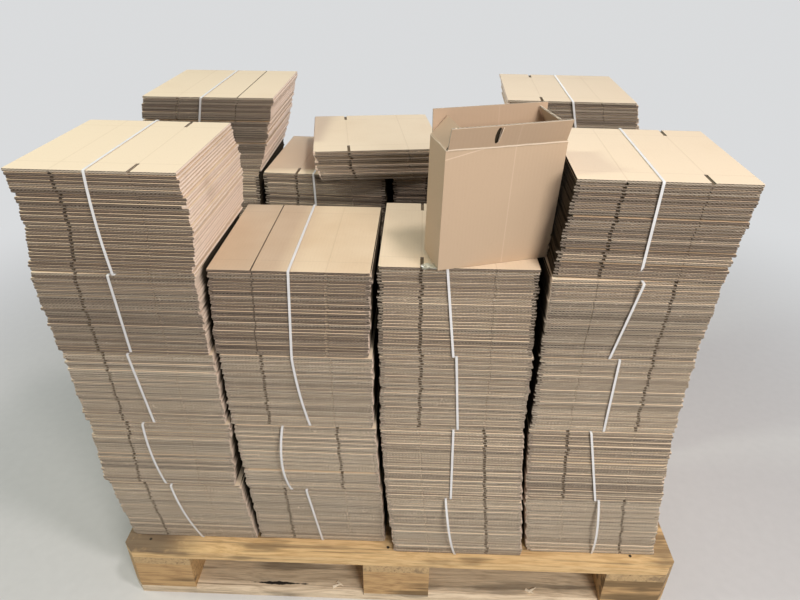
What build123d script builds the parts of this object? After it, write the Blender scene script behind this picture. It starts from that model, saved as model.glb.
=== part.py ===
from build123d import *
from math import cos, pi, radians, sin
import os

# A pallet load of strapped bundles of flat, knocked-down cartons, with one carton set up.
# All sizes are in millimetres. +X runs along the pallet's long side, +Y into the load
# and +Z up. The origin is on the floor under the middle of the pallet.

# Pallet: the common 1200 by 800 four-way pallet
pallet_length = 1200
pallet_depth = 800
board_thickness = 22
wide_board = 145
narrow_board = 100
block_height = 78
corner_cut = 20
ramp_cut = 8

# Carton: a slotted blank of single-wall board, folded flat
board_wall = 2.65
carton_length = 201.5
carton_width = 75.5
carton_height = 209
slot_width = 6
walls_per_flat = 2

# Bundle and strap
cartons_per_bundle = 30
carton_play = 0.3
sway = 1.4
strap_width = 5
strap_thickness = 0.6
strap_clearance = 0.1
strap_play = 0.1

slow_drift = 0.8
quick_drift = 2.3
quick_share = 0.4
bundle_seeds = 3

# Two rows of four columns, with a gap between the rows
load_left = -612
column_gap = 13
front_row = -357
back_row = 62

# Loose flat cartons that lie across the back row's two middle columns
loose_count = 12
loose_play = 0.4
loose_sway = 4
loose_left = 136
loose_front = -41
loose_lean = -12
loose_turn = 7.5

# Carton that stands open on the front row's third column
open_left = 96.3
open_front = 18.6
open_turn = 17.5
open_lean = 3.4
flap_lean_front = 17
flap_lean_back = 5
flap_lean_left = -42
flap_lean_right = -27

# Worked-out sizes
flat_width = carton_length + carton_width
flat_depth = carton_height + carton_width
flap_depth = carton_width / 2
flat_thickness = walls_per_flat * board_wall
column_pitch = flat_width + column_gap
row_front = {"front": front_row, "back": back_row}
tier_gap = 2 * (strap_thickness + strap_clearance) + strap_play
bottom_top = board_thickness
block_top = bottom_top + block_height
stringer_top = block_top + board_thickness
deck_top = stringer_top + board_thickness

# How far each bundle's front left corner lies from its column's own place, from the pallet up:
# (right of it at the foot, behind it at the foot, the same two at the top, turn in degrees)
columns = {
    "front_1": [
        (25, 0, 8, -7, 0),
        (-12, -1, 6, -7, 0),
        (-3, -1, 1, -9, 0),
        (-10, -4, 1, -23, 0),
        (2, -19, -6, 7, -1.3),
    ],
    "front_2": [
        (19, 3, 13, -8, 0),
        (10, -6, 2, -5, 0),
        (-2, 2, -1, -7, 0),
        (-7, -5, -1, 6, 0),
    ],
    "front_3": [
        (26, -22, 10, -21, 0),
        (9, -17, -2, 0, 0),
        (-2, 4, -2, 8, 0),
        (-5, 8, -6, 33, 0),
    ],
    "front_4": [
        (26, -7, 4, -10, 0),
        (5, -10, -5, 6, 0),
        (-3, 11, -3, 14, 0),
        (-5, 16, -8, -9, 0),
        (0, 11, 9, 7, -2.3),
    ],
    "back_1": [
        (14, -2, 8, 0, 0),
        (5, 4, 10, -2, 0),
        (8, -4, 3, 2, 0),
        (1, 4, -2, 14, 0),
        (5, 42, 59, -18, 0),
    ],
    "back_2": [
        (22, 6, 18, 4, 0),
        (17, 0, 19, -2, 0),
        (18, 2, 14, -2, 0),
        (4, 4, 0, 6, -3),
    ],
    "back_3": [
        (16, 4, 18, -2, 0),
        (17, 2, 14, 0, 0),
        (14, -2, 12, 0, 0),
        (13, 0, 11, -4, 0),
    ],
    "back_4": [
        (10, 8, 7, 4, 0),
        (8, 16, 5, 26, 0),
        (4, 32, 8, 40, 0),
        (6, 48, 10, 56, 0),
        (4, 82, -40, 60, -2.2),
    ],
}

# How much of the usual play lies between the cartons of each column
looseness = {
    "front_1": 1.0, "front_2": 1.0, "front_3": 1.0, "front_4": 1.0,
    "back_1": 1.4, "back_2": 1.6, "back_3": 1.5, "back_4": 1.1,
}

# The piles that bow sideways between foot and top, and how far
bows = {("front_1", 5): 11}

# How far along a carton's width each strap lies, at the bundle's foot and at its top
strap_places = {
    "front_1": [(0.56, 0.48), (0.51, 0.4), (0.51, 0.45), (0.51, 0.49), (0.52, 0.48)],
    "front_2": [(0.5, 0.44), (0.34, 0.35), (0.56, 0.48), (0.5, 0.5)],
    "front_3": [(0.48, 0.44), (0.48, 0.51), (0.54, 0.5), (0.49, 0.43)],
    "front_4": [(0.51, 0.54), (0.51, 0.43), (0.51, 0.51), (0.45, 0.53), (0.49, 0.46)],
    "back_1": [(0.5, 0.5), (0.45, 0.45), (0.52, 0.52), (0.48, 0.48), (0.46, 0.46)],
    "back_2": [(0.5, 0.5), (0.46, 0.46), (0.52, 0.52), (0.42, 0.42)],
    "back_3": [(0.47, 0.47), (0.53, 0.53), (0.49, 0.49), (0.52, 0.52)],
    "back_4": [(0.52, 0.52), (0.48, 0.48), (0.5, 0.5), (0.46, 0.46), (0.5, 0.5)],
}
slot_on_right = ("front_1", "front_4", "back_1")


def save(piece, label):
    """Label a finished piece and write its STEP file."""
    piece.part.label = label
    export_step(piece.part, f"parts/{label}.step")


def pallet_board(label, centre, size):
    """One sawn board or block, with the pallet's corners cut where it reaches them."""
    with BuildPart() as board:
        with Locations(centre):
            Box(*size, align=(Align.CENTER, Align.CENTER, Align.MIN))
        corners = [
            edge for edge in board.edges().filter_by(Axis.Z)
            if abs(edge.center().X) > pallet_length / 2 - corner_cut
            and abs(edge.center().Y) > pallet_depth / 2 - corner_cut
        ]
        if corners:
            chamfer(corners, corner_cut)
        if label.startswith("bottom"):
            ramp_between_blocks(centre[1], size[1])
    save(board, label)


def ramp_between_blocks(board_y, board_width):
    """Cut the sloped upper edges that let a truck's wheels climb a bottom board."""
    bay_start = wide_board / 2
    bay_length = pallet_length / 2 - wide_board - bay_start
    for side in (-1, 1):
        edge_y = board_y + side * board_width / 2
        for start in (bay_start, -bay_start - bay_length):
            with BuildSketch(Plane.YZ.offset(start)) as wedge:
                with BuildLine():
                    Polyline(
                        (edge_y, bottom_top),
                        (edge_y - side * ramp_cut, bottom_top),
                        (edge_y, bottom_top - ramp_cut),
                        close=True,
                    )
                make_face()
            extrude(wedge.sketch, amount=bay_length, mode=Mode.SUBTRACT)


def make_pallet():
    """Bottom boards, blocks, cross boards and deck boards, from the floor up."""
    row_y = (pallet_depth - narrow_board) / 2
    rows = (("front", -row_y, narrow_board), ("centre", 0, wide_board), ("back", row_y, narrow_board))
    column_x = (pallet_length - wide_board) / 2
    sides = (("left", -column_x), ("middle", 0), ("right", column_x))
    for row, y, width in rows:
        pallet_board(f"bottom_board_{row}", (0, y, 0), (pallet_length, width, board_thickness))
        for side, x in sides:
            pallet_board(f"block_{row}_{side}", (x, y, bottom_top), (wide_board, width, block_height))
    for side, x in sides:
        pallet_board(f"cross_board_{side}", (x, 0, block_top), (wide_board, pallet_depth, board_thickness))
    deck_widths = (wide_board, narrow_board, wide_board, narrow_board, wide_board)
    deck_gap = (pallet_depth - sum(deck_widths)) / (len(deck_widths) - 1)
    y = -pallet_depth / 2
    for number, width in enumerate(deck_widths, start=1):
        centre = (0, y + width / 2, stringer_top)
        pallet_board(f"deck_board_{number}", centre, (pallet_length, width, board_thickness))
        y += width + deck_gap


def shift(number, seed):
    """How far one carton has slipped in its pile, between -1 and 1."""
    slow = sin(slow_drift * number + seed)
    quick = sin(quick_drift * number + 2 * seed)
    return (1 - quick_share) * slow + quick_share * quick


def column_corner(row, number):
    """The front left corner of a column's own place, counted from the left."""
    return load_left + (number - 1) * column_pitch, row_front[row]


def corner_stand(corner, turn, foot_z):
    """The level plane whose origin is a pile's front left foot corner, turned with the pile."""
    return Plane(
        origin=(corner[0], corner[1], foot_z),
        x_dir=(cos(radians(turn)), sin(radians(turn)), 0),
    )


def flat_places(count, play, corner, turn, foot_z, slip, seed, bow=0):
    """The place of each flat carton's middle in a pile that leans, and may bow, from foot to top."""
    left, front, left_top, front_top = corner
    stand = corner_stand(corner, turn, foot_z).location
    places = []
    for number in range(count):
        rise = (number + 0.5) / count
        bulge = bow * sin(pi * rise)
        x = rise * (left_top - left) + bulge + flat_width / 2 + slip * shift(number, seed)
        y = rise * (front_top - front) + flat_depth / 2 + slip * shift(number, seed + 2)
        z = number * (flat_thickness + play)
        places.append(stand * Location((x, y, z)))
    return places


def cut_slots(place, share):
    """Cut the two flap slots in a flat carton's upper wall."""
    x = (share - 0.5) * flat_width
    for side in (-1, 1):
        y = side * (flat_depth - flap_depth) / 2
        with Locations(place * Location((x, y, board_wall))):
            Box(
                slot_width, flap_depth, board_wall,
                align=(Align.CENTER, Align.CENTER, Align.MIN), mode=Mode.SUBTRACT,
            )


def flat_pile(places):
    """Flat cartons that lie on each other."""
    with BuildPart() as pile:
        with Locations(*places):
            Box(flat_width, flat_depth, flat_thickness, align=(Align.CENTER, Align.CENTER, Align.MIN))
    return pile


def slotted_pile(places, share):
    """Flat cartons whose top one lies open to view, with its slots."""
    with flat_pile(places) as pile:
        cut_slots(places[-1], share)
    return pile


def strap_ring(corner, turn, foot_z, height, along, along_top):
    """A flat strap closed round one bundle, front to back, leaning with it."""
    left, front, left_top, front_top = corner
    lean_x = left_top - left + (along_top - along) * flat_width
    lean_y = front_top - front
    step = abs(lean_y) / cartons_per_bundle / 2
    half = flat_depth / 2 + sway + step + strap_clearance
    up = Vector(lean_x, 0, height)
    slant = up.length / height
    side = Plane(
        origin=(along * flat_width - strap_width / 2, flat_depth / 2, 0),
        x_dir=(0, 1, 0), z_dir=Vector(0, 1, 0).cross(up),
    )
    loops = []
    for wall in (strap_thickness, 0):
        low = -(strap_clearance + wall) * slant
        high = up.length - low
        reach = half + wall
        loops.append([(-reach, low), (reach, low), (reach + lean_y, high), (-reach + lean_y, high)])
    with BuildPart() as ring:
        with BuildSketch(side):
            with BuildLine():
                Polyline(*loops[0], close=True)
            make_face()
            with BuildLine():
                Polyline(*loops[1], close=True)
            make_face(mode=Mode.SUBTRACT)
        extrude(amount=strap_width, dir=(1, 0, 0))
    return corner_stand(corner, turn, foot_z).location * ring.part


def make_columns():
    """Every strapped bundle, column by column; gives back each column's top."""
    tops = {}
    straps = {"front": [], "back": []}
    for seed, (column, tiers) in enumerate(columns.items()):
        row, number = column.split("_")
        column_left, column_front = column_corner(row, int(number))
        play = carton_play * looseness[column]
        height = cartons_per_bundle * flat_thickness + (cartons_per_bundle - 1) * play
        share = carton_length / flat_width if column in slot_on_right else carton_width / flat_width
        foot_z = deck_top + strap_thickness + strap_clearance
        for tier, (left, front, left_top, front_top, turn) in enumerate(tiers):
            corner = (
                column_left + left, column_front + front,
                column_left + left_top, column_front + front_top,
            )
            bow = bows.get((column, tier + 1), 0)
            places = flat_places(
                cartons_per_bundle, play, corner, turn, foot_z, sway, bundle_seeds * seed + tier, bow,
            )
            is_top = tier == len(tiers) - 1
            pile = slotted_pile(places, share) if is_top else flat_pile(places)
            save(pile, f"bundle_{column}_tier_{tier + 1}")
            straps[row].append(strap_ring(corner, turn, foot_z, height, *strap_places[column][tier]))
            tops[column] = foot_z + height
            foot_z += height + tier_gap
    for row, rings in straps.items():
        with BuildPart() as ring_set:
            add(rings)
        save(ring_set, f"straps_{row}_row")
    return tops


def make_loose_cartons(rest_z):
    """The loose flat cartons, slipped further than those in a bundle."""
    foot_z = rest_z + tier_gap - strap_thickness - strap_clearance
    left, front = column_corner("back", 2)
    left += loose_left
    front += loose_front
    corner = (left, front, left + loose_lean, front + loose_lean)
    places = flat_places(loose_count, loose_play, corner, loose_turn, foot_z, loose_sway, 1)
    save(slotted_pile(places, carton_width / flat_width), "loose_flat_cartons")


def make_open_carton(rest_z):
    """One blank set up: four walls, a closed bottom and four open top flaps."""
    wall = board_wall
    foot_z = rest_z + tier_gap - strap_thickness - strap_clearance
    left, front = column_corner("front", 3)
    level = corner_stand((left + open_left, front + open_front), open_turn, foot_z)
    stand = Plane(level.location * Location((0, 0, 0), (open_lean, 0, 0)))
    inside_length = carton_length - 2 * wall
    inside_width = carton_width - 2 * wall
    long_flap = carton_length - slot_width
    short_flap = carton_width - slot_width
    half_slot = slot_width / 2
    half_wall = wall / 2
    with BuildPart(stand) as carton:
        Box(carton_length, carton_width, carton_height, align=Align.MIN)
        with Locations((wall, wall, 2 * wall)):
            Box(inside_length, inside_width, carton_height, align=Align.MIN, mode=Mode.SUBTRACT)
        with Locations((flap_depth, wall, wall)):
            Box(carton_length - carton_width, inside_width, wall, align=Align.MIN, mode=Mode.SUBTRACT)
    hinges = (
        ((half_slot, half_wall), 0, long_flap, flap_lean_front),
        ((carton_length - half_slot, carton_width - half_wall), 180, long_flap, flap_lean_back),
        ((half_wall, carton_width - half_slot), -90, short_flap, flap_lean_left),
        ((carton_length - half_wall, half_slot), 90, short_flap, flap_lean_right),
    )
    with BuildPart() as whole:
        add(carton.part)
        for (x, y), turn, width, lean in hinges:
            hinge = Location((x, y, carton_height), (0, 0, turn)) * Location((0, 0, 0), (lean, 0, 0))
            with Locations(stand.location * hinge):
                Box(width, wall, flap_depth, align=(Align.MIN, Align.CENTER, Align.MIN))
    save(whole, "open_carton")


os.makedirs("parts", exist_ok=True)
make_pallet()
column_tops = make_columns()
make_loose_cartons(max(column_tops["back_2"], column_tops["back_3"]))
make_open_carton(column_tops["front_3"])
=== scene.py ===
# %% [markdown]
# A pallet load of flat cartons in strapped bundles, dressed over the CAD frame.
# The CAD gives every place and size. This script adds what makes it look real: the fluted
# cut edges, the folds, the slots, the straps, the carton that stands open, and the wood.

import random
from math import atan2, cos, pi, radians, sin

import bmesh
import bpy
from mathutils import Matrix, Vector


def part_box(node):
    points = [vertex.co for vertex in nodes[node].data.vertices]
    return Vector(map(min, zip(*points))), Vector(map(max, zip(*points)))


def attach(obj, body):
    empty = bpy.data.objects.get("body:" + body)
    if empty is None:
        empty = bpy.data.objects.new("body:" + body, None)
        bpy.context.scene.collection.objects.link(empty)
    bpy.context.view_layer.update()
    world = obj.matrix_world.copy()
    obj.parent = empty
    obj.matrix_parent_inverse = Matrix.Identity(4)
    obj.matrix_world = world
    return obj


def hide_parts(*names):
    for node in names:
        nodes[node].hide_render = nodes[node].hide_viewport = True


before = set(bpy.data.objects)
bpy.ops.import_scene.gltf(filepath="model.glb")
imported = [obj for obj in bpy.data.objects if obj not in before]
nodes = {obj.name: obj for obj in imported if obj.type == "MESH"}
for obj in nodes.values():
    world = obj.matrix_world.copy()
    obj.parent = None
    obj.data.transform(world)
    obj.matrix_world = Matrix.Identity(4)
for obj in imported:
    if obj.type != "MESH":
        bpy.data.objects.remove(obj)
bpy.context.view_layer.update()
bundles = sorted(name for name in nodes if name.startswith("bundle"))
print(len(nodes), "CAD nodes, of which", len(bundles), "are bundles")

# %% [markdown]
# These sizes are in metres and are the part's own: a flat carton is two walls of board, as wide
# as a long and a short side together, and as deep as its height and one flap's pair together.

# %% Sizes
FLAT_WIDTH = 0.277
FLAT_DEPTH = 0.2845
WALL = 0.00265
SLOT = 0.006
JOINT = 0.0022
FLAP = 0.03775
SLOT_SHARE = 0.0755 / 0.277
FLAP_LINE = FLAT_DEPTH / 2 - FLAP
CARTON_LENGTH = 0.2015
CARTON_WIDTH = 0.0755
CARTON_HEIGHT = 0.209
STRAP_WIDTH = 0.0044
STRAP_CLEAR = 0.0016
FLUTE_PITCH = 0.0063
dice = random.Random(30)
print("a flat carton is", FLAT_WIDTH, "by", FLAT_DEPTH, "by", 2 * WALL)

# %% [markdown]
# Every piece starts as one of Blender's primitives and is shaped by edit-mode operators.
# The helpers below keep that short: one starts a piece, one cuts it with planes, one selects
# what passes a test, and one leaves edit mode; others apply a modifier, join, copy and lay out faces.


# %% Modelling helpers
def start(name, kind, size, centre=(0, 0, 0)):
    """Add a primitive of the given size, with the size in its mesh, and open it for editing."""
    if bpy.context.mode != "OBJECT":
        bpy.ops.object.mode_set(mode="OBJECT")
    bpy.ops.object.select_all(action="DESELECT")
    if kind == "cube":
        bpy.ops.mesh.primitive_cube_add(size=1)
    elif kind == "plane":
        bpy.ops.mesh.primitive_plane_add(size=1)
    else:
        bpy.ops.mesh.primitive_cylinder_add(vertices=12, radius=0.5, depth=1)
    piece = bpy.context.object
    piece.name = name
    piece.data.name = name
    piece.data.transform(Matrix.Translation(centre) @ Matrix.Diagonal((*size, 1)))
    bpy.ops.object.mode_set(mode="EDIT")
    return piece


def cut(axis, *places):
    """Cut the whole open piece by planes across one axis."""
    for place in places:
        bpy.ops.mesh.select_all(action="SELECT")
        where = [0, 0, 0]
        normal = [0, 0, 0]
        where["XYZ".index(axis)] = place
        normal["XYZ".index(axis)] = 1
        bpy.ops.mesh.bisect(plane_co=where, plane_no=normal)


def pick(kind, test):
    """Select only the vertices, edges or faces whose middle passes the test."""
    bpy.ops.mesh.select_mode(type=kind)
    bpy.ops.mesh.select_all(action="DESELECT")
    work = bmesh.from_edit_mesh(bpy.context.object.data)
    if kind == "VERT":
        for vert in work.verts:
            vert.select_set(bool(test(vert.co)))
    elif kind == "EDGE":
        for edge in work.edges:
            edge.select_set(bool(test((edge.verts[0].co + edge.verts[1].co) / 2)))
    else:
        for face in work.faces:
            face.select_set(bool(test(face.calc_center_median())))
    bmesh.update_edit_mesh(bpy.context.object.data)


def close(piece):
    """Leave edit mode."""
    bpy.ops.object.mode_set(mode="OBJECT")
    return piece


def use_modifier(piece, kind, **settings):
    """Add one modifier and apply it to the mesh."""
    bpy.ops.object.select_all(action="DESELECT")
    piece.select_set(True)
    bpy.context.view_layer.objects.active = piece
    modifier = piece.modifiers.new(kind.title(), kind)
    for name, value in settings.items():
        setattr(modifier, name, value)
    bpy.ops.object.modifier_apply(modifier=modifier.name)


def join(name, pieces):
    """Join pieces into one that is named."""
    bpy.ops.object.select_all(action="DESELECT")
    for piece in pieces:
        piece.select_set(True)
    bpy.context.view_layer.objects.active = pieces[0]
    bpy.ops.object.join()
    pieces[0].name = name
    pieces[0].data.name = name
    return pieces[0]


def copy_at(piece, place, tone=None):
    """A copy with its own mesh, moved to its place, and if asked one value of its own that darkens its colour, at
    random and as painted shade.
    """
    twin = piece.copy()
    twin.data = piece.data.copy()
    bpy.context.scene.collection.objects.link(twin)
    twin.data.transform(place)
    if tone is not None:
        values = twin.data.attributes.get("tone") or twin.data.attributes.new("tone", "FLOAT", "POINT")
        values.data.foreach_set("value", [tone] * len(twin.data.vertices))
    return twin


def board_uv(piece, cut_slot=1, layered=False):
    """Lay out the faces: metres on the liners, and 0 to 1 across the board on its cut edges.

    A layered piece is a wall that lies flat, so its cut edges go from 0 inside to 1 outside.
    """
    mesh = piece.data
    layer = mesh.uv_layers.active or mesh.uv_layers.new(name="board")
    for face in mesh.polygons:
        points = [mesh.vertices[i].co for i in face.vertices]
        if face.material_index == cut_slot:
            sides = [points[i] - points[i - 1] for i in range(len(points))]
            along = max(sides, key=lambda side: side.length).normalized()
            across = face.normal.cross(along)
            heights = [point.dot(across) for point in points]
            low, high = min(heights), max(heights)
            for loop, point, height in zip(face.loop_indices, points, heights):
                share = point.z / WALL if layered else (height - low) / max(high - low, 1e-6)
                layer.data[loop].uv = (point.dot(along), share)
        elif layered and face.material_index == 2:
            for loop, point in zip(face.loop_indices, points):
                layer.data[loop].uv = (point.y, point.z / WALL)
        else:
            for loop, point in zip(face.loop_indices, points):
                layer.data[loop].uv = (point.x, point.y)


print("helpers are ready")

# %% [markdown]
# Materials are node graphs with no images. These helpers add nodes and link them, and
# return what the next node takes.


# %% Shader helpers
def new_material(name, roughness, specular=0.3):
    """A material with its skin shader ready to be wired."""
    material = bpy.data.materials.new(name)
    material.use_nodes = True
    skin = material.node_tree.nodes["Principled BSDF"]
    skin.inputs["Roughness"].default_value = roughness
    skin.inputs["Specular IOR Level"].default_value = specular
    return material, material.node_tree, skin


def add(tree, kind, inputs=None, **settings):
    """Add a shader node; inputs may be plain values or sockets to link."""
    node = tree.nodes.new("ShaderNode" + kind)
    for name, value in settings.items():
        setattr(node, name, value)
    for slot, value in (inputs or {}).items():
        if isinstance(value, bpy.types.NodeSocket):
            tree.links.new(value, node.inputs[slot])
        else:
            node.inputs[slot].default_value = value
    return node


def calc(tree, operation, *values):
    """One math node."""
    return add(tree, "Math", dict(enumerate(values)), operation=operation).outputs[0]


def blend(tree, share, first, second):
    """Mix two colours by a share from 0 to 1."""
    return add(tree, "Mix", {0: share, 6: first, 7: second}, data_type="RGBA").outputs[2]


def ramp(tree, value, low, high):
    """0 below low, 1 above high, smooth between."""
    node = add(tree, "MapRange", {"Value": value, "From Min": low, "From Max": high})
    node.interpolation_type = "SMOOTHSTEP"
    return node.outputs[0]


def speckle(tree, where, scale, detail=3, stretch=(1, 1, 1)):
    """Noise over the given coordinates, stretched along an axis."""
    mapping = add(tree, "Mapping", {"Vector": where, "Scale": stretch})
    return add(tree, "TexNoise", {"Vector": mapping.outputs[0], "Scale": scale, "Detail": detail}).outputs["Fac"]


def raise_bump(tree, skin, height, distance, strength=1.0):
    """Wire a height into the skin's normal."""
    bump = add(tree, "Bump", {"Height": height, "Distance": distance, "Strength": strength})
    tree.links.new(bump.outputs[0], skin.inputs["Normal"])


print("shader helpers are ready")

# %% [markdown]
# Corrugated board shows three faces. The liner is smooth kraft paper with faint ribs over the
# flutes and pressed score lines. The cut edge shows the wavy medium between two liners, with
# painted shade in the flute hollows. The fold is pale liner paper too, with painted shade in the
# thin gaps along it, where its two walls meet and where the next carton lies.


# %% Board materials
def make_liner(name, light, dark, scored):
    """Kraft liner, laid out in metres on each carton: ribs along the flutes, and score lines."""
    material, tree, skin = new_material(name, 0.62, 0.35)
    uv = add(tree, "UVMap").outputs[0]
    place = add(tree, "TexCoord").outputs["Object"]
    split = add(tree, "SeparateXYZ", {0: uv}).outputs
    tone = add(tree, "Attribute", attribute_name="tone").outputs["Fac"]
    mottle = speckle(tree, place, 9, 4)
    fibre = speckle(tree, place, 900, 2, (1, 0.25, 0.25))
    rib = calc(tree, "SINE", calc(tree, "MULTIPLY", split[0], 2 * pi / FLUTE_PITCH))
    # The carton's darkening value makes the liner darker: it differs at random, and on some top cartons it is
    # painted light and shade
    amount = calc(tree, "ADD", calc(tree, "MULTIPLY", mottle, 0.45), calc(tree, "MULTIPLY", tone, 0.3))
    amount = calc(tree, "ADD", amount, calc(tree, "MULTIPLY", rib, 0.010))
    colour = blend(tree, ramp(tree, amount, 0.35, 0.95), light, dark)
    fleck = ramp(tree, fibre, 0.60, 0.72)
    colour = blend(tree, calc(tree, "MULTIPLY", fleck, 0.12), colour, (0.33, 0.22, 0.13, 1))
    height = calc(tree, "MULTIPLY", rib, 0.03)
    if scored:
        slot_x = (0.5 - SLOT_SHARE) * FLAT_WIDTH
        across = calc(tree, "ABSOLUTE", calc(tree, "SUBTRACT", calc(tree, "ABSOLUTE", split[1]), FLAP_LINE))
        down = calc(tree, "ABSOLUTE", calc(tree, "SUBTRACT", calc(tree, "ABSOLUTE", split[0]), slot_x))
        far = calc(tree, "MINIMUM", across, down)
        groove = calc(tree, "SUBTRACT", 1, ramp(tree, far, 0.0004, 0.0016))
        colour = blend(tree, calc(tree, "MULTIPLY", groove, 0.16), colour, (0.40, 0.27, 0.16, 1))
        height = calc(tree, "SUBTRACT", height, calc(tree, "MULTIPLY", groove, 0.35))
    tree.links.new(colour, skin.inputs["Base Color"])
    raise_bump(tree, skin, height, 0.0007, 0.8)
    return material


def make_cut_edge():
    """The edge where board was cut: two liners and the wavy medium, with painted shade in the flute hollows between
    them.
    """
    material, tree, skin = new_material("cut_edge", 0.85, 0.1)
    uv = add(tree, "UVMap").outputs[0]
    place = add(tree, "TexCoord").outputs["Object"]
    v = add(tree, "SeparateXYZ", {0: uv}).outputs[1]
    x = add(tree, "SeparateXYZ", {0: place}).outputs[0]
    tone = add(tree, "Attribute", attribute_name="tone").outputs["Fac"]
    drift = calc(tree, "MULTIPLY", speckle(tree, place, 10, 2), 5)
    phase = calc(tree, "ADD", calc(tree, "MULTIPLY", x, 2 * pi / FLUTE_PITCH), calc(tree, "MULTIPLY", tone, 60))
    wave = calc(tree, "SINE", calc(tree, "ADD", phase, drift))
    off = calc(tree, "SUBTRACT", v, calc(tree, "MULTIPLY_ADD", wave, 0.24, 0.5))
    medium = calc(tree, "SUBTRACT", 1, ramp(tree, calc(tree, "ABSOLUTE", off), 0.07, 0.15))
    inner = calc(tree, "SUBTRACT", 1, ramp(tree, v, 0.20, 0.27))
    outer = ramp(tree, v, 0.83, 0.88)
    fray = speckle(tree, place, 260, 3)
    paper = calc(tree, "MAXIMUM", calc(tree, "MAXIMUM", medium, inner), calc(tree, "MULTIPLY", outer, 0.92))
    paper = calc(tree, "MAXIMUM", paper, ramp(tree, fray, 0.60, 0.72))
    shade = speckle(tree, place, 18, 3)
    light = blend(tree, shade, (0.93, 0.81, 0.65, 1), (0.76, 0.63, 0.48, 1))
    # The carton's darkening value darkens the paper and the hollows: at random, and per tier as painted shade
    light = blend(tree, calc(tree, "MULTIPLY", tone, 0.8), light, (0.30, 0.235, 0.185, 1))
    # Painted shade in the flute hollows: brown on the medium's inner side, near black on its outer side
    hollow_shade = blend(tree, ramp(tree, off, -0.05, 0.05), (0.20, 0.155, 0.11, 1), (0.006, 0.005, 0.004, 1))
    hollow_shade = blend(tree, calc(tree, "MULTIPLY", tone, 0.6), hollow_shade, (0.02, 0.016, 0.013, 1))
    tree.links.new(blend(tree, paper, hollow_shade, light), skin.inputs["Base Color"])
    raise_bump(tree, skin, calc(tree, "ADD", paper, calc(tree, "MULTIPLY", fray, 0.4)), 0.0008, 0.9)
    return material


def make_fold():
    """Liner bent round the fold: pale, wrinkled and scuffed, and darkened as painted shade along its outer edge and
    where its walls meet, in the thin gaps between cartons.
    """
    material, tree, skin = new_material("folded_edge", 0.6, 0.3)
    place = add(tree, "TexCoord").outputs["Object"]
    tone = add(tree, "Attribute", attribute_name="tone").outputs["Fac"]
    wrinkle = speckle(tree, place, 160, 3, (1, 0.5, 3))
    mottle = speckle(tree, place, 14, 3)
    colour = blend(tree, wrinkle, (0.93, 0.79, 0.68, 1), (0.74, 0.56, 0.45, 1))
    colour = blend(tree, calc(tree, "MULTIPLY", tone, 0.15), colour, (0.60, 0.44, 0.31, 1))
    colour = blend(tree, calc(tree, "MULTIPLY", ramp(tree, mottle, 0.55, 0.8), 0.4), colour, (0.50, 0.36, 0.25, 1))
    v = add(tree, "SeparateXYZ", {0: add(tree, "UVMap").outputs[0]}).outputs[1]
    # Painted shade: dark along the wall's outer edge and faintly where the two walls meet, for the thin gaps between
    # cartons
    dark_line = calc(tree, "MULTIPLY", ramp(tree, v, 0.70, 1.0), 0.75)
    seam_shade = calc(tree, "MULTIPLY", calc(tree, "SUBTRACT", 1, ramp(tree, v, 0.0, 0.12)), 0.35)
    colour = blend(tree, calc(tree, "MAXIMUM", dark_line, seam_shade), colour, (0.26, 0.18, 0.13, 1))
    tree.links.new(colour, skin.inputs["Base Color"])
    raise_bump(tree, skin, wrinkle, 0.0008, 0.7)
    return material


def make_gap_fold_shade():
    """A fold in the gap between two columns: like the others at the front, and darkened further back as painted
    shade in the gap.
    """
    material, tree, skin = new_material("gap_fold", 0.8, 0.1)
    place = add(tree, "TexCoord").outputs["Object"]
    wrinkle = speckle(tree, place, 160, 3, (1, 0.5, 3))
    # Painted shade: the fold turns dark further back into the gap
    deep_shade = ramp(tree, add(tree, "SeparateXYZ", {0: place}).outputs[1], -0.360, -0.335)
    colour = blend(tree, wrinkle, (0.80, 0.66, 0.54, 1), (0.50, 0.38, 0.29, 1))
    tree.links.new(blend(tree, deep_shade, colour, (0.045, 0.034, 0.022, 1)), skin.inputs["Base Color"])
    raise_bump(tree, skin, wrinkle, 0.0008, 0.7)
    return material


liner = make_liner("flat_liner", (0.83, 0.68, 0.50, 1), (0.66, 0.48, 0.31, 1), True)
cut_edge = make_cut_edge()
folded_edge = make_fold()
# Painted shade: a wall's inner face, seen only down the slots, is dark brown for the shade in there
slot_inside, _, inside_shade_skin = new_material("slot_inside", 0.9, 0.05)
inside_shade_skin.inputs["Base Color"].default_value = (0.20, 0.15, 0.10, 1)
shaded_fold, _, shaded_skin = new_material("shaded_fold", 0.9, 0.05)
shaded_skin.inputs["Base Color"].default_value = (0.045, 0.034, 0.022, 1)
gap_fold = make_gap_fold_shade()
print("board materials:", liner.name, cut_edge.name, folded_edge.name)
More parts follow.
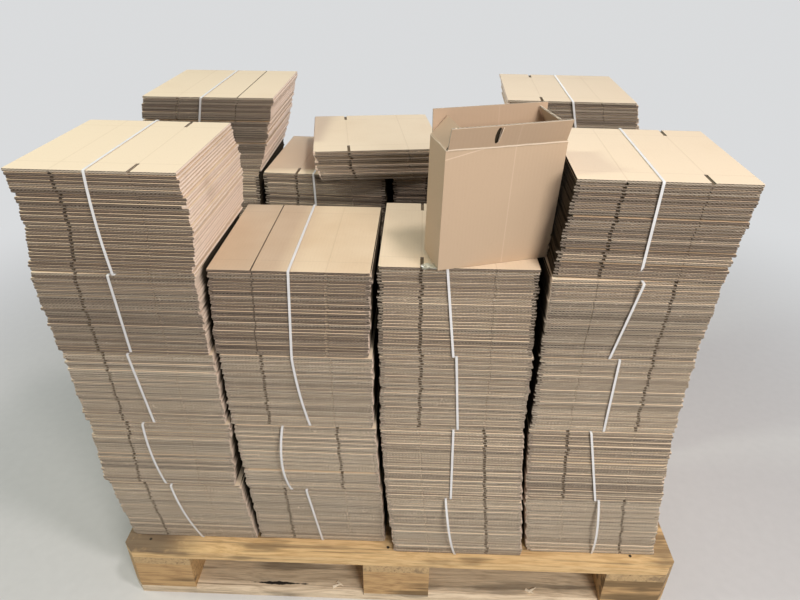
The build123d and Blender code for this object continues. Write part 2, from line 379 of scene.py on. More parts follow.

# %% [markdown]
# Softwood: long grain along a board, knots, a few dark cracks and dirt. The deck is golden
# and the blocks are browner. The bottom boards are paler, as painted light under the deck.


# %% Wood materials
def make_wood(name, pale, dark, dirt, stretch, dirty):
    """Sawn softwood with its grain along one axis of the object."""
    material, tree, skin = new_material(name, 0.7, 0.25)
    place = add(tree, "TexCoord").outputs["Object"]
    warp = calc(tree, "MULTIPLY", speckle(tree, place, 2.5, 2), 0.05)
    rings = add(tree, "Mapping", {"Vector": place, "Scale": stretch})
    bent = add(tree, "VectorMath", {0: rings.outputs[0], 1: warp}, operation="ADD").outputs[0]
    grain = add(tree, "TexNoise", {"Vector": bent, "Scale": 170, "Detail": 5, "Roughness": 0.6}).outputs["Fac"]
    fine = speckle(tree, place, 700, 2, stretch)
    knots = add(tree, "TexVoronoi", {"Vector": rings.outputs[0], "Scale": 5.0}).outputs["Distance"]
    knot = calc(tree, "SUBTRACT", 1, ramp(tree, knots, 0.05, 0.16))
    colour = blend(tree, calc(tree, "MULTIPLY", ramp(tree, grain, 0.38, 0.75), 0.8), pale, dark)
    colour = blend(tree, calc(tree, "MULTIPLY", ramp(tree, fine, 0.5, 0.75), 0.35), colour, dark)
    colour = blend(tree, calc(tree, "MULTIPLY", knot, 0.75), colour, (0.16, 0.08, 0.04, 1))
    soil = calc(tree, "ADD", speckle(tree, rings.outputs[0], 42, 4), calc(tree, "MULTIPLY", speckle(tree, place, 5, 3), 0.7))
    colour = blend(tree, calc(tree, "MULTIPLY", ramp(tree, soil, 0.88, 1.02), dirty), colour, dirt)
    x, y, z = add(tree, "SeparateXYZ", {0: place}).outputs
    smudge = calc(tree, "MULTIPLY", ramp(tree, x, -0.40, -0.53), ramp(tree, speckle(tree, place, 30, 4), 0.22, 0.5))
    smudge = calc(tree, "MULTIPLY", smudge, calc(tree, "MULTIPLY", ramp(tree, z, 0.134, 0.143), 0.85))
    colour = blend(tree, smudge, colour, (0.13, 0.095, 0.07, 1))
    streak = calc(tree, "ABSOLUTE", calc(tree, "ADD", x, 0.267))
    streak = calc(tree, "ADD", calc(tree, "MULTIPLY", streak, 0.07), calc(tree, "ABSOLUTE", calc(tree, "ADD", y, 0.3825)))
    streak = calc(tree, "ADD", streak, calc(tree, "MULTIPLY", speckle(tree, place, 90, 4), 0.006))
    streak = calc(tree, "SUBTRACT", ramp(tree, streak, 0.0085, 0.0070), ramp(tree, z, 0.03, 0.05))
    colour = blend(tree, calc(tree, "MAXIMUM", streak, 0), colour, (0.02, 0.016, 0.012, 1))
    # Thin dark cracks along the grain
    thin = add(tree, "Mapping", {"Vector": rings.outputs[0], "Scale": tuple(min(value * 6, 1) ** 1.5 for value in stretch)})
    dark_line = add(tree, "TexNoise", {"Vector": thin.outputs[0], "Scale": 150, "Detail": 3}).outputs["Fac"]
    colour = blend(tree, calc(tree, "MULTIPLY", ramp(tree, dark_line, 0.61, 0.67), 0.45), colour, (0.13, 0.08, 0.045, 1))
    tree.links.new(colour, skin.inputs["Base Color"])
    raise_bump(tree, skin, calc(tree, "SUBTRACT", calc(tree, "ADD", grain, fine), dark_line), 0.0012, 0.5)
    return material


along_board = (0.06, 1, 1)
across_board = (1, 0.06, 1)
deck_wood = make_wood(
    "deck_wood_look", (0.82, 0.57, 0.29, 1), (0.48, 0.28, 0.11, 1), (0.17, 0.11, 0.06, 1), along_board, 0.7)
cross_wood = make_wood(
    "cross_wood_look", (0.60, 0.42, 0.22, 1), (0.38, 0.24, 0.12, 1), (0.17, 0.12, 0.08, 1), across_board, 0.5)
block_wood = make_wood(
    "block_wood_look", (0.62, 0.40, 0.19, 1), (0.32, 0.18, 0.08, 1), (0.12, 0.08, 0.04, 1), along_board, 0.75)
# Painted light: the bottom boards get paler wood than the deck, standing in for light that hardly reaches them under
# the deck
bottom_wood_lit = make_wood(
    "bottom_wood_look", (0.82, 0.67, 0.48, 1), (0.42, 0.31, 0.20, 1), (0.10, 0.08, 0.06, 1), along_board, 0.55)
for name, node in nodes.items():
    look = None
    if name.startswith("deck"):
        look = deck_wood
    elif name.startswith("cross"):
        look = cross_wood
    elif name.startswith("block"):
        look = block_wood
    elif name.startswith("bottom"):
        look = bottom_wood_lit
    if look:
        for slot in node.material_slots:
            slot.material = look
print("wood on", sum(name.startswith(("deck", "cross", "block", "bottom")) for name in nodes), "nodes")

# %% [markdown]
# The deck boards are nailed down where they cross the boards below. A nail head is a low
# disc, a little sunk at its middle. Four pale splinters, in two pairs, stand up from the bottom front board.

# %% Nails and splinters
nail = start("nail", "cylinder", (0.0065, 0.0065, 0.0012))
pick("FACE", lambda c: c.z > 0.0005)
bpy.ops.mesh.inset(thickness=0.001, depth=-0.0003)
close(nail)
nail_look, _, nail_skin = new_material("nail_head", 0.6, 0.4)
nail_skin.inputs["Base Color"].default_value = (0.06, 0.045, 0.032, 1)
nail_skin.inputs["Metallic"].default_value = 0.5
nail.data.materials.append(nail_look)
nails = []
for board in range(1, 6):
    low, high = (Vector(corner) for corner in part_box(f"deck_board_{board}"))
    reach = (high.y - low.y) * 0.29
    for cross in ("left", "middle", "right"):
        cross_low, cross_high = (Vector(corner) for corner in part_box("cross_board_" + cross))
        centre = Vector(((cross_low.x + cross_high.x) / 2, (low.y + high.y) / 2, high.z))
        for side in (-1, 1):
            nails.append(copy_at(nail, Matrix.Translation(centre + Vector((side * 0.019, side * reach, 0)))))
bpy.data.objects.remove(nail)
nail_heads = join("nail_heads", nails)
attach(nail_heads, "root")

chip_look, _, chip_skin = new_material("fresh_wood", 0.7, 0.2)
chip_skin.inputs["Base Color"].default_value = (0.95, 0.84, 0.66, 1)
chips = []
board_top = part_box("bottom_board_front")[1][2]
for x, y, turn in ((-0.135, -0.385, 20), (0.302, -0.382, -35), (0.309, -0.378, 25), (-0.128, -0.381, -40)):
    chip = start("chip", "cube", (0.020, 0.006, 0.003), (0, 0, 0.001))
    pick("VERT", lambda c: c.x > 0.009)
    bpy.ops.transform.resize(value=(1, 0.2, 0.3))
    bpy.ops.transform.translate(value=(0, 0, 0.004))
    close(chip)
    chip.data.materials.append(chip_look)
    chip.data.transform(Matrix.Translation((x, y, board_top)) @ Matrix.Rotation(radians(turn), 4, "Z"))
    chips.append(chip)
splinters = join("splinters", chips)
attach(splinters, "root")
print(len(nails), "nail heads and", len(chips), "splinters")

# %% [markdown]
# One flat carton is modelled once. One wall starts as a slab, gets its two flap slots cut out, its
# cut ends pressed thinner and its sides rounded into the fold. The other wall is two panels that
# meet over a glued tab, turned over under the first, so that its joint lies at the other side, as a folded blank's
# does.


# %% One flat carton
def press_ends():
    """Press the cut ends thinner and round the sides, on the open wall."""
    cut("Y", -FLAT_DEPTH / 2 + 0.003, FLAT_DEPTH / 2 - 0.003)
    cut("X", -FLAT_WIDTH / 2 + 0.009, FLAT_WIDTH / 2 - 0.009)
    pick("VERT", lambda c: abs(c.y) > FLAT_DEPTH / 2 - 1e-4 and c.z > WALL / 2)
    bpy.ops.transform.translate(value=(0, 0, -0.00025))
    pick("VERT", lambda c: abs(c.y) > FLAT_DEPTH / 2 - 1e-4 and c.z < WALL / 2)
    bpy.ops.transform.translate(value=(0, 0, 0.0001))
    pick("VERT", lambda c: abs(c.x) > FLAT_WIDTH / 2 - 1e-4 and c.z > WALL / 2)
    bpy.ops.transform.resize(value=(1 - 0.0026 / FLAT_WIDTH, 1, 1), center_override=(0, 0, 0))


def dress_wall(piece):
    """Give a wall its liner, cut-edge and fold looks by the way its faces lie, with painted shade on its inner face,
    which shows down the slots; add the two gap looks for later; and lay the faces out.
    """
    for look in (liner, cut_edge, folded_edge, slot_inside, gap_fold, shaded_fold):
        piece.data.materials.append(look)
    for face in piece.data.polygons:
        if abs(face.normal.z) < 0.5:
            at_side = abs(face.center.x) > FLAT_WIDTH / 2 - 0.002
            face.material_index = 2 if at_side else 1
        elif face.center.z < WALL * 0.7:
            # Painted shade on the wall's inner face, which shows down the slots
            face.material_index = 3
    board_uv(piece, layered=True)
    return piece


def make_slotted_wall():
    """The wall with two flap slots at its right, from z 0 to the board's thickness."""
    piece = start("slotted_wall", "cube", (FLAT_WIDTH, FLAT_DEPTH, WALL), (0, 0, WALL / 2))
    slot_x = (0.5 - SLOT_SHARE) * FLAT_WIDTH
    cut("X", slot_x - SLOT / 2, slot_x + SLOT / 2)
    cut("Y", -FLAP_LINE, FLAP_LINE)
    pick("FACE", lambda c: abs(c.x - slot_x) < SLOT / 2 - 1e-5 and abs(c.y) > FLAP_LINE + 1e-4)
    bpy.ops.mesh.delete(type="FACE")
    for side in (-1, 1):
        pick("EDGE", lambda c: (
            abs(c.x - slot_x) < SLOT / 2 + 1e-5 and c.y * side > FLAP_LINE - 1e-5
            and c.y * side < FLAT_DEPTH / 2 - 1e-4 and min(c.z, WALL - c.z) < 1e-5))
        bpy.ops.mesh.bridge_edge_loops()
    bpy.ops.mesh.select_all(action="SELECT")
    bpy.ops.mesh.dissolve_limited(angle_limit=radians(1))
    bpy.ops.mesh.normals_make_consistent(inside=False)
    press_ends()
    return dress_wall(close(piece))


def make_joined_wall():
    """The wall whose two panels meet at its right over a glued tab, from z 0 up."""
    joint_x = (0.5 - SLOT_SHARE) * FLAT_WIDTH
    left_end, right_end = joint_x - JOINT / 2, joint_x + JOINT / 2
    panels = []
    for low, high in ((-FLAT_WIDTH / 2, left_end), (right_end, FLAT_WIDTH / 2)):
        panel = start("panel", "cube", (high - low, FLAT_DEPTH, WALL), ((low + high) / 2, 0, WALL / 2))
        press_ends()
        panels.append(close(panel))
    tab = start("tab", "cube", (JOINT, 2 * FLAP_LINE, 0.0015), (joint_x, 0, 0.00085))
    panels.append(close(tab))
    return dress_wall(join("joined_wall", panels))


slotted_wall = make_slotted_wall()
joined_wall = make_joined_wall()
joined_wall.data.transform(Matrix.Rotation(pi, 4, "Y"))
flat_carton = join("flat_carton", [slotted_wall, joined_wall])
print("one flat carton has", len(flat_carton.data.polygons), "faces")

# %% [markdown]
# The CAD node of a bundle gives the middle and the turn of each of its cartons. A carton
# goes there with a little slip and turn of its own, and the bundle is joined into one piece.


# %% Bundles
def carton_places(node, count):
    """The middle, level and turn of each carton in a CAD pile, from its lower corners."""
    levels = {}
    for vert in nodes[node].data.vertices:
        levels.setdefault(round(vert.co.z, 4), set()).add((round(vert.co.x, 5), round(vert.co.y, 5)))
    places = []
    for level in sorted(levels)[0:2 * count:2]:
        corners = sorted(levels[level], key=lambda corner: corner[1])
        left, right = sorted(corners[:2])
        middle = [sum(corner[axis] for corner in corners) / len(corners) for axis in (0, 1)]
        turn = atan2(right[1] - left[1], right[0] - left[0])
        places.append((Vector((*middle, level + WALL)), turn))
    return places


def ease_column(names, reach=7):
    """The places of a column's cartons, each one's depth eased to its neighbours' in the column."""
    piles = [carton_places(node, 30) for node in names]
    depths = [middle.y for pile in piles for middle, _ in pile]
    for index, (middle, _) in enumerate(place for pile in piles for place in pile):
        near = depths[max(0, index - reach):index + reach + 1]
        middle.y = sum(near) / len(near)
    return dict(zip(names, piles))


# How the cartons of a pile lie: where the open slots are, and whether they are turned over
POSES = {
    "right": Matrix.Identity(4),
    "left": Matrix.Rotation(pi, 4, "Z"),
    "right_over": Matrix.Rotation(pi, 4, "X"),
    "left_over": Matrix.Rotation(pi, 4, "Y"),
}
pile_poses = {
    "bundle_front_2_tier_4": "right_over", "bundle_front_2_tier_2": "right",
    "bundle_front_3_tier_2": "right", "bundle_front_3_tier_1": "right",
    "bundle_front_4_tier_4": "right", "bundle_front_4_tier_3": "right", "bundle_front_4_tier_1": "right",
    "bundle_back_1_tier_5": "left_over", "bundle_back_3_tier_3": "right", "bundle_back_4_tier_4": "right",
}
top_poses = {"bundle_front_1_tier_5": "right", "bundle_front_4_tier_5": "right"}
# Painted light and shade on some bundles' top cartons: lighter for the highest top, darker for tops sunk between
# higher neighbours
top_shades = {"bundle_front_1_tier_5": 0.2, "bundle_front_2_tier_4": 1.6, "bundle_front_3_tier_4": 1.1}
wide_gaps = {
    "bundle_front_4_tier_5": (5, 9, 19), "bundle_back_1_tier_5": (12, 21),
    "bundle_front_2_tier_2": (9,), "bundle_front_4_tier_2": (17, 19), "bundle_front_1_tier_2": (13, 15, 26),
}
# How far a bundle's lowest and highest cartons lie to the right of their CAD places
side_shifts = {
    "bundle_front_1_tier_2": (0.009, 0.002), "bundle_front_1_tier_3": (0.004, 0.002),
    "bundle_front_1_tier_4": (0.006, 0.001), "bundle_front_4_tier_5": (-0.007, 0),
    "bundle_back_1_tier_4": (0.006, 0.003), "bundle_back_3_tier_4": (-0.008, -0.008),
}
# Painted shade, mostly on the cut edges: how dark each tier of a column is drawn, from its foot to its top, in place
# of the uneven light on the tiers
column_shades = {
    "front_1": (0.0, 0.3, 0.3, 0.8, 1.2), "front_2": (0.1, 0.0, 0.4, 1.1), "front_3": (0.2, 0.45, 0.5, 0.8),
    "front_4": (0.0, 0.7, 0.3, 0.65, 1.1), "back_1": (0.5, 0.5, 0.6, 0.7, 0.9), "back_2": (0.5, 0.5, 0.6, 0.9),
    "back_3": (0.5, 0.5, 0.6, 0.9), "back_4": (0.5, 0.5, 0.6, 0.7, 0.9),
}


def worn_copy(place, tone, wear=0.0009):
    """A flat carton with its four corners pushed in a little, each by its own amount."""
    twin = copy_at(flat_carton, Matrix.Identity(4), tone)
    for side in (-1, 1):
        for end in (-1, 1):
            push = Vector((-side * abs(dice.gauss(0, wear)), -end * abs(dice.gauss(0, wear)), 0))
            if dice.random() < 0.06:
                push *= 3
            for vert in twin.data.vertices:
                near_side = vert.co.x * side > FLAT_WIDTH / 2 - 0.003
                if near_side and vert.co.y * end > FLAT_DEPTH / 2 - 0.002:
                    vert.co += push
    twin.data.transform(place)
    return twin


def spread(node, number):
    """How far a carton is lifted or lowered by the wide gaps of its bundle."""
    gaps = wide_gaps.get(node, ())
    if not gaps:
        return 0
    closed = 0.0002
    return sum(number >= gap for gap in gaps) * 29 * closed / len(gaps) - number * closed


def shade_gaps(piece, node):
    """Give the sides that face a gap between columns, and the ledges there, painted shade: the gap fold look in the
    front row below the fifth tier, and the dark shaded look elsewhere.
    """
    column, tier = int(node.split("_")[2]), int(node[-1])
    if tier == 5 and node != "bundle_front_4_tier_5":
        return
    look = 4 if "front" in node and tier < 5 else 5
    low, high = (Vector(corner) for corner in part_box(node))
    middle = (low.x + high.x) / 2
    layer = piece.data.uv_layers.active.data
    for face in piece.data.polygons:
        ledge = face.material_index == 0 and low.z < face.center.z < high.z - 0.008 and (
            abs(sum(layer[loop].uv[0] for loop in face.loop_indices)) > face.loop_total * (FLAT_WIDTH / 2 - 0.009))
        if face.material_index == 2 or ledge:
            to_right = face.center.x > middle
            if (to_right and column < 4) or (not to_right and column > 1):
                face.material_index = look


def make_bundle(node, places, bundle_shade):
    """All the cartons of one bundle, the top one in a pose of its own where it is turned."""
    cartons = []
    pile_pose = pile_poses.get(node, "left")
    for number, (middle, turn) in enumerate(places):
        foot, top = side_shifts.get(node, (0, 0))
        aside = foot + (top - foot) * number / 29
        forward = 0.0012 if dice.random() < 0.10 else 0
        slip = Vector((aside + dice.gauss(0, 0.0010), dice.gauss(0, 0.0004) - forward, spread(node, number)))
        is_top = number == len(places) - 1
        pose = POSES[top_poses.get(node, pile_pose) if is_top else pile_pose]
        tilt = Matrix.Rotation(dice.gauss(0, 0.0005), 4, "Y") @ Matrix.Rotation(dice.gauss(0, 0.0005), 4, "X")
        place = (
            Matrix.Translation(middle + slip) @ Matrix.Rotation(turn + dice.gauss(0, 0.002), 4, "Z") @ tilt @ pose)
        # A carton's darkening value is its bundle's painted shade with a random difference; a top carton takes its
        # painted light and shade from the table, or a middling value
        tone = top_shades.get(node, 0.5) if is_top else bundle_shade + dice.uniform(-0.4, 0.35)
        cartons.append(worn_copy(place, tone))
    piece = join("look_" + node, cartons)
    shade_gaps(piece, node)
    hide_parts(node)
    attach(piece, "root")
    return piece


for column, tier_shades in column_shades.items():
    names = [name for name in bundles if name.startswith("bundle_" + column)]
    for (name, places), tone in zip(ease_column(names).items(), tier_shades):
        make_bundle(name, places, tone)
print(len(bundles), "bundles of 30 cartons")

# %% [markdown]
# The loose cartons lie across two columns of the back row. They use the same carton, with
# more slip between them.

# %% Loose cartons
loose = []
for number, (middle, turn) in enumerate(carton_places("loose_flat_cartons", 12)):
    place = Matrix.Translation(middle) @ Matrix.Rotation(turn + dice.gauss(0, 0.006) + pi, 4, "Z")
    loose.append(worn_copy(place, dice.uniform(0.6, 0.9), 0.002))
loose_pile = join("look_loose_cartons", loose)
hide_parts("loose_flat_cartons")
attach(loose_pile, "root")
bpy.data.objects.remove(flat_carton)
print(len(loose), "loose cartons")

# %% [markdown]
# Each strap is a thin band of pale plastic closed round its bundle. The CAD ring gives its
# four corners. The band's corners are cut off at a slant, and its faces are pressed with a fine pattern.


# %% Straps
def make_strap_material():
    """Pale, slightly see-through plastic with a pressed diamond pattern."""
    material, tree, skin = new_material("strap_plastic", 0.35, 0.5)
    place = add(tree, "TexCoord").outputs["Object"]
    diamonds = add(tree, "TexVoronoi", {"Vector": place, "Scale": 700}).outputs["Distance"]
    cloud = speckle(tree, place, 25, 3)
    colour = blend(tree, cloud, (0.86, 0.86, 0.86, 1), (0.70, 0.68, 0.68, 1))
    tree.links.new(colour, skin.inputs["Base Color"])
    skin.inputs["Subsurface Weight"].default_value = 0.15
    skin.inputs["Subsurface Radius"].default_value = (0.002, 0.002, 0.002)
    raise_bump(tree, skin, diamonds, 0.0003, 0.6)
    return material


strap_look = make_strap_material()
print(strap_look.name)


def islands(mesh):
    """The sets of vertices that touch each other, each as a list of places."""
    spots = {}
    for vert in mesh.vertices:
        spots.setdefault(tuple(round(value, 5) for value in vert.co), []).append(vert.index)
    parent = list(range(len(mesh.vertices)))

    def top(index):
        while parent[index] != index:
            parent[index] = parent[parent[index]]
            index = parent[index]
        return index

    for same in spots.values():
        for index in same[1:]:
            parent[top(index)] = top(same[0])
    for edge in mesh.edges:
        first, second = edge.vertices
        parent[top(first)] = top(second)
    groups = {}
    for place, same in spots.items():
        groups.setdefault(top(same[0]), []).append(Vector(place))
    return list(groups.values())


# How far the middle of a strap bows sideways, and stands off its bundle, in metres
strap_bows = {
    "front_1_tier_5": (-0.003, 0.001), "front_1_tier_2": (-0.004, 0.003), "front_1_tier_1": (-0.005, 0.003),
    "front_2_tier_3": (-0.0025, 0.003), "front_2_tier_2": (-0.0065, 0.016),
    "front_3_tier_1": (-0.0025, 0.018), "front_4_tier_1": (0.001, 0.012),
}


def nearest_bundle(spot):
    """The name of the bundle whose middle is nearest to a place."""
    def far(node):
        low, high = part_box(node)
        return ((Vector(low) + Vector(high)) / 2 - spot).length
    return min(bundles, key=far)


def make_strap(name, ring):
    """One band, bent over the corners that the CAD ring gives, and bowed at its front."""
    middle = sum(ring, Vector()) / len(ring)
    bow, off = strap_bows.get(nearest_bundle(middle).replace("bundle_", ""), (0, 0))
    corners = []
    for near in (min, max):
        for height in (min, max):
            level = height(point.z for point in ring)
            side = sorted((point for point in ring if abs(point.z - level) < 0.003), key=lambda point: point.y)
            pair = side[:2] if near is min else side[-2:]
            corners.append((pair[0] + pair[1]) / 2)
    front_low, front_high, back_low, back_high = corners
    piece = start(name, "cube", (STRAP_WIDTH, 1, 1), (0, 0.5, 0.5))
    pick("FACE", lambda c: abs(c.x) > STRAP_WIDTH / 4)
    bpy.ops.mesh.delete(type="FACE")
    cut("Z", 0.02, 0.15, 0.3, 0.4, 0.5, 0.6, 0.7, 0.85, 0.98)
    cut("Y", 0.012, 0.988)
    close(piece)
    for vert in piece.data.vertices:
        y, z = vert.co.y, vert.co.z
        swell = 4 * z * (1 - z) if y < 0.001 else 0
        if min(y, 1 - y) < 0.001 and min(z, 1 - z) < 0.001:
            y = 0.002 if y < 0.5 else 0.998
            z = 0.003 if z < 0.5 else 0.997
        spot = (
            front_low * (1 - y) * (1 - z) + back_low * y * (1 - z)
            + front_high * (1 - y) * z + back_high * y * z
        )
        clear = -STRAP_CLEAR if y < 0.5 else STRAP_CLEAR
        vert.co = spot + Vector((vert.co.x + bow * swell, clear - off * swell, STRAP_CLEAR * 0.4 if z > 0.5 else 0))
    use_modifier(piece, "SOLIDIFY", thickness=0.0006, offset=-1)
    return piece


for row in ("front", "back"):
    node = f"straps_{row}_row"
    bands = []
    for number, ring in enumerate(islands(nodes[node].data)):
        bands.append(make_strap(f"strap_{row}_{number}", ring))
    straps = join("look_" + node, bands)
    straps.data.materials.clear()
    straps.data.materials.append(strap_look)
    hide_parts(node)
    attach(straps, "root")
    print(node, "has", len(bands), "straps")

# %% [markdown]
# The carton that stands open is made from a box whose lid is taken off. Its rim is extruded
# into four flaps, and the whole sheet is then given the board's thickness. It is laid out in
# its own metres, so that its material can draw the creases, before it is stood in its place.


# %% The open carton
def make_creased_liner():
    """Kraft liner with pale creases down the panel and one slanting, a painted highlight along the front fold, and
    painted shade on the flaps past it.
    """
    material = make_liner("set_up_liner", (0.56, 0.41, 0.28, 1), (0.44, 0.31, 0.20, 1), False)
    tree = material.node_tree
    skin = tree.nodes["Principled BSDF"]
    colour = skin.inputs["Base Color"].links[0].from_socket
    uv = next(node for node in tree.nodes if node.bl_idname == "ShaderNodeUVMap").outputs[0]
    u, v, _ = add(tree, "SeparateXYZ", {0: uv}).outputs
    place = add(tree, "TexCoord").outputs["Object"]
    waver = calc(tree, "MULTIPLY_ADD", speckle(tree, place, 22, 3), 0.005, -0.0025)
    fold = calc(tree, "ABSOLUTE", calc(tree, "SUBTRACT", calc(tree, "ADD", v, waver), CARTON_HEIGHT - 0.001))
    down = calc(tree, "ABSOLUTE", calc(tree, "SUBTRACT", u, 0.114))
    slant = calc(tree, "ABSOLUTE", calc(tree, "SUBTRACT", v, calc(tree, "MULTIPLY_ADD", u, 0.22, 0.193)))
    slant = calc(tree, "ADD", slant, calc(tree, "MULTIPLY", calc(tree, "GREATER_THAN", u, 0.065), 1))
    # The pale line along the front fold is a painted highlight on the crease
    for far, width, share, paint in (
        (fold, 0.0010, 0.9, (0.95, 0.80, 0.64, 1)), (down, 0.0009, 0.2, (0.86, 0.68, 0.52, 1)),
        (slant, 0.0008, 0.45, (0.86, 0.68, 0.52, 1)),
    ):
        line = calc(tree, "SUBTRACT", 1, ramp(tree, far, width * 0.5, width * 1.5))
        colour = blend(tree, calc(tree, "MULTIPLY", line, share), colour, paint)
    # Painted shade: the flaps, past the front fold, are drawn darker
    flap_shade = calc(tree, "MULTIPLY", ramp(tree, v, CARTON_HEIGHT + 0.0005, CARTON_HEIGHT + 0.0015), 0.35)
    colour = blend(tree, flap_shade, colour, (0.42, 0.28, 0.19, 1))
    tree.links.new(colour, skin.inputs["Base Color"])
    return material


def panel_uv(piece):
    """Lay out an upright box in metres: along each panel, with the short ones a metre off, and up."""
    layer = piece.data.uv_layers.active
    for face in piece.data.polygons:
        if face.material_index == 0:
            axis = 0 if abs(face.normal.y) > abs(face.normal.x) else 1
            for loop, index in zip(face.loop_indices, face.vertices):
                point = piece.data.vertices[index].co
                layer.data[loop].uv = (point[axis] + axis, point.z)


open_liner = make_creased_liner()
stand = (
    Matrix.Translation((0.0643, -0.3384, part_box("open_carton")[0][2]))
    @ Matrix.Rotation(radians(17.5), 4, "Z") @ Matrix.Rotation(radians(3.4), 4, "X")
)
carton = start(
    "open_carton_look", "cube", (CARTON_LENGTH, CARTON_WIDTH, CARTON_HEIGHT),
    (CARTON_LENGTH / 2, CARTON_WIDTH / 2, CARTON_HEIGHT / 2))
pick("FACE", lambda c: c.z > CARTON_HEIGHT - 1e-4)
bpy.ops.mesh.delete(type="FACE")
cut("X", SLOT / 2, 0.062, CARTON_LENGTH - SLOT / 2)
cut("Y", SLOT / 2, CARTON_WIDTH - SLOT / 2)
cut("Z", CARTON_HEIGHT - 0.004)
pick("VERT", lambda c: c.z > CARTON_HEIGHT - 1e-4 and c.y < 1e-4)
bpy.ops.transform.translate(value=(0, -0.0007, 0))
pick("VERT", lambda c: c.z > CARTON_HEIGHT - 1e-4 and c.y < 1e-4 and c.x < 0.063)
bpy.ops.transform.translate(value=(0, 0, -0.0012))
flaps = (
    (lambda c: c.y < 1e-4 and SLOT < c.x < CARTON_LENGTH - SLOT, (0, -sin(radians(17)), cos(radians(17)))),
    (lambda c: c.y > CARTON_WIDTH - 1e-4 and SLOT < c.x < CARTON_LENGTH - SLOT,
     (0, sin(radians(5)), cos(radians(5)))),
    (lambda c: c.x < 1e-4 and SLOT < c.y < CARTON_WIDTH - SLOT, (sin(radians(42)), 0, cos(radians(42)))),
    (lambda c: c.x > CARTON_LENGTH - 1e-4 and SLOT < c.y < CARTON_WIDTH - SLOT,
     (-sin(radians(27)), 0, cos(radians(27)))),
)
for on_side, lean in flaps:
    pick("EDGE", lambda c: CARTON_HEIGHT - 0.0015 < c.z < CARTON_HEIGHT + 1e-4 and on_side(c))
    bpy.ops.mesh.extrude_edges_move(TRANSFORM_OT_translate={"value": Vector(lean) * FLAP})
close(carton)
carton.data.materials.append(open_liner)
carton.data.materials.append(cut_edge)
use_modifier(carton, "SOLIDIFY", thickness=WALL, offset=-1, material_offset_rim=1)
board_uv(carton)
panel_uv(carton)

# The tear near the top of the front flap, cut into the board but not through it, and the strip
# of liner that curls out of it
carton.data.materials.append(shaded_fold)
flap_turn = Matrix.Translation((0.0785, 0, CARTON_HEIGHT)) @ Matrix.Rotation(radians(17), 4, "X")
tear = start("tear", "cylinder", (0.0085, 0.029, 0.02))
close(tear)
for look in carton.data.materials:
    tear.data.materials.append(look)
# The tear's walls take the dark shaded look: painted shade inside the recess
for face in tear.data.polygons:
    face.material_index = 2
tear.data.transform(
    flap_turn @ Matrix.Translation((0, -0.0084, 0.020)) @ Matrix.Rotation(radians(3), 4, "Y")
    @ Matrix.Rotation(pi / 2, 4, "X"))
use_modifier(carton, "BOOLEAN", object=tear, operation="DIFFERENCE", solver="EXACT")
bpy.data.objects.remove(tear)
curl = start("curl", "cylinder", (0.005, 0.006, 0.026))
pick("FACE", lambda c: c.x < -0.0005 or abs(c.z) > 0.0129)
bpy.ops.mesh.delete(type="FACE")
pick("VERT", lambda c: c.z < -0.0125)
bpy.ops.transform.resize(value=(0.3, 0.3, 1))
close(curl)
curl.data.transform(
    flap_turn @ Matrix.Translation((0.0024, -0.0018, 0.0215)) @ Matrix.Rotation(radians(5), 4, "Y"))
torn_look, _, torn_skin = new_material("torn_liner", 0.8, 0.1)
torn_skin.inputs["Base Color"].default_value = (0.82, 0.68, 0.54, 1)
curl.data.materials.append(torn_look)
use_modifier(curl, "SOLIDIFY", thickness=0.0005, offset=0)

# The end of the clear tape that closes the carton's foot, crumpled at the left corner
film = start("film", "plane", (0.028, 0.018, 1), (-0.010, 0.013, 0))
bpy.ops.mesh.subdivide(number_cuts=5)
close(film)
for vert in film.data.vertices:
    vert.co += Vector((dice.gauss(0, 0.0012), dice.gauss(0, 0.0012), 0.0008 + abs(dice.gauss(0, 0.0012))))
film_look, _, film_skin = new_material("clear_tape", 0.2, 0.6)
film_skin.inputs["Base Color"].default_value = (0.86, 0.87, 0.78, 1)
film_skin.inputs["Transmission Weight"].default_value = 0.8
film.data.materials.append(film_look)
use_modifier(film, "SOLIDIFY", thickness=0.0002, offset=0)
carton = join("open_carton_look", [carton, curl, film])
carton.data.transform(stand)
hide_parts("open_carton")
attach(carton, "root")
print("the open carton has", len(carton.data.polygons), "faces")

# %% [markdown]
# The floor is plain and pale. Five soft lights stand round the load: a small one high at the
# front right, a small one at the left, one at the right, a broad one behind and a broad one in
# front. The sky around is an even pale grey and gives a faint light. The camera stands where
# the photograph's stood.

# %% Floor, light and camera
def seen_straight(tree):
    """1 for rays from the camera, or by way of glossy or clear things, and 0 for the rest."""
    path = add(tree, "LightPath").outputs
    shine = calc(tree, "MAXIMUM", path["Is Glossy Ray"], path["Is Transmission Ray"])
    return calc(tree, "MAXIMUM", path["Is Camera Ray"], shine)


backdrop = (0.70, 0.71, 0.72, 1)
floor = start("floor", "plane", (60, 60, 1))
close(floor)
floor_look, floor_tree, floor_skin = new_material("floor_look", 0.9, 0.1)
floor_place = add(floor_tree, "TexCoord").outputs["Object"]
floor_grit = speckle(floor_tree, floor_place, 40, 4)
floor_tree.links.new(
    blend(floor_tree, floor_grit, (0.72, 0.71, 0.70, 1), (0.66, 0.65, 0.64, 1)), floor_skin.inputs["Base Color"])
away = add(floor_tree, "VectorMath", {0: floor_place}, operation="LENGTH").outputs["Value"]
glow = add(floor_tree, "Emission", {"Color": backdrop})
share = calc(floor_tree, "MULTIPLY", ramp(floor_tree, away, 0.9, 2.6), seen_straight(floor_tree))
floor_mix = add(floor_tree, "MixShader", {0: share, 1: floor_skin.outputs[0], 2: glow.outputs[0]})
floor_tree.links.new(floor_mix.outputs[0], floor_tree.nodes["Material Output"].inputs["Surface"])
floor.data.materials.append(floor_look)


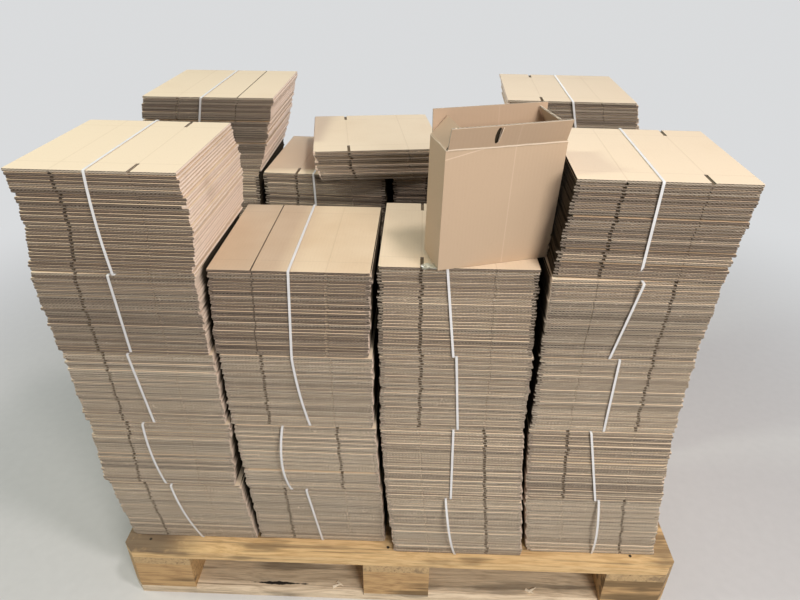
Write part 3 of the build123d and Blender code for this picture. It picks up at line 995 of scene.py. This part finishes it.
def soft_light(name, size, power, place, target, colour):
    """A square light that faces a point."""
    data = bpy.data.lights.new(name, "AREA")
    data.size = size
    data.energy = power
    data.color = colour
    lamp = bpy.data.objects.new(name, data)
    bpy.context.scene.collection.objects.link(lamp)
    lamp.location = place
    lamp.rotation_euler = (Vector(target) - Vector(place)).to_track_quat("-Z", "Y").to_euler()


soft_light("key", 0.3, 22, (0.70, -0.95, 2.9), (0, -0.1, 0.8), (1.0, 0.94, 0.92))
soft_light("left", 0.3, 18, (-1.6, -0.3, 2.4), (-0.1, -0.1, 0.9), (0.90, 1.0, 0.86))
soft_light("right", 0.8, 6, (2.2, -0.3, 2.2), (0, -0.1, 0.9), (1.0, 0.90, 0.90))
soft_light("back", 2.0, 16, (0.3, 3.2, 1.5), (0, 0.3, 0.5), (1.0, 0.98, 0.95))
soft_light("front", 1.1, 62, (1.3, -2.8, 2.2), (0, -0.3, 0.4), (1.0, 0.96, 0.91))
world = bpy.data.worlds.new("sky")
bpy.context.scene.world = world
world.use_nodes = True
sky = world.node_tree
sky.nodes["Background"].inputs[0].default_value = (0.92, 0.95, 1.0, 1)
sky.nodes["Background"].inputs[1].default_value = 0.20
seen = add(sky, "Background", {"Color": backdrop})
sky_mix = add(sky, "MixShader", {0: seen_straight(sky), 1: sky.nodes["Background"].outputs[0], 2: seen.outputs[0]})
sky.links.new(sky_mix.outputs[0], sky.nodes["World Output"].inputs["Surface"])

eye = bpy.data.cameras.new("camera")
camera = bpy.data.objects.new("camera", eye)
bpy.context.scene.collection.objects.link(camera)
eye.sensor_width = 36
eye.lens = 27.68
eye.clip_start = 0.05
camera.matrix_world = (
    Matrix.Translation((0.030, -1.246, 1.309)) @ Matrix.Rotation(radians(1.79), 4, "Z")
    @ Matrix.Rotation(radians(90 - 31.09), 4, "X") @ Matrix.Rotation(radians(0.50), 4, "Z")
)
bpy.context.scene.camera = camera
bpy.context.scene.view_settings.view_transform = "Standard"
print("camera at", tuple(round(value, 3) for value in camera.location))
